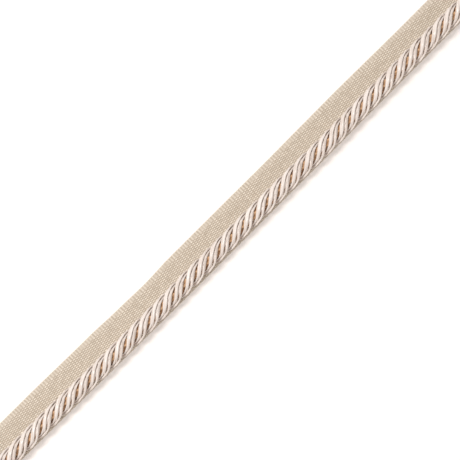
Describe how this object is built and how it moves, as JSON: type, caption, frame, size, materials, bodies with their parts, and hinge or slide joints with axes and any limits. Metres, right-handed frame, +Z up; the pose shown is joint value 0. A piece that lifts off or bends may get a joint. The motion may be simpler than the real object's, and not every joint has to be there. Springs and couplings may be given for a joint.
{
  "type": "flanged cord trim",
  "caption": "Straight cut length of twisted satin cord along one side of a flat woven tape, sewn into a seam as edge trim.",
  "frame": {"origin": "on the surface that the tape lies on, under the middle of the whole length and width", "axes": "+X along the cord, +Y from the cord towards the tape's free edge, +Z up from the tape to the cord"},
  "size_m": [0.25, 0.0148, 0.0077],
  "materials": {
    "tape": "matt beige ribbed weave",
    "core_yarn": "dull caramel brown yarn",
    "satin_yarn": "ivory satin yarn"
  },
  "bodies": {
    "root": {"flange": "tape", "core": "core_yarn", "ply_1": "satin_yarn", "ply_2": "satin_yarn", "ply_3": "satin_yarn"}
  },
  "joints": []
}
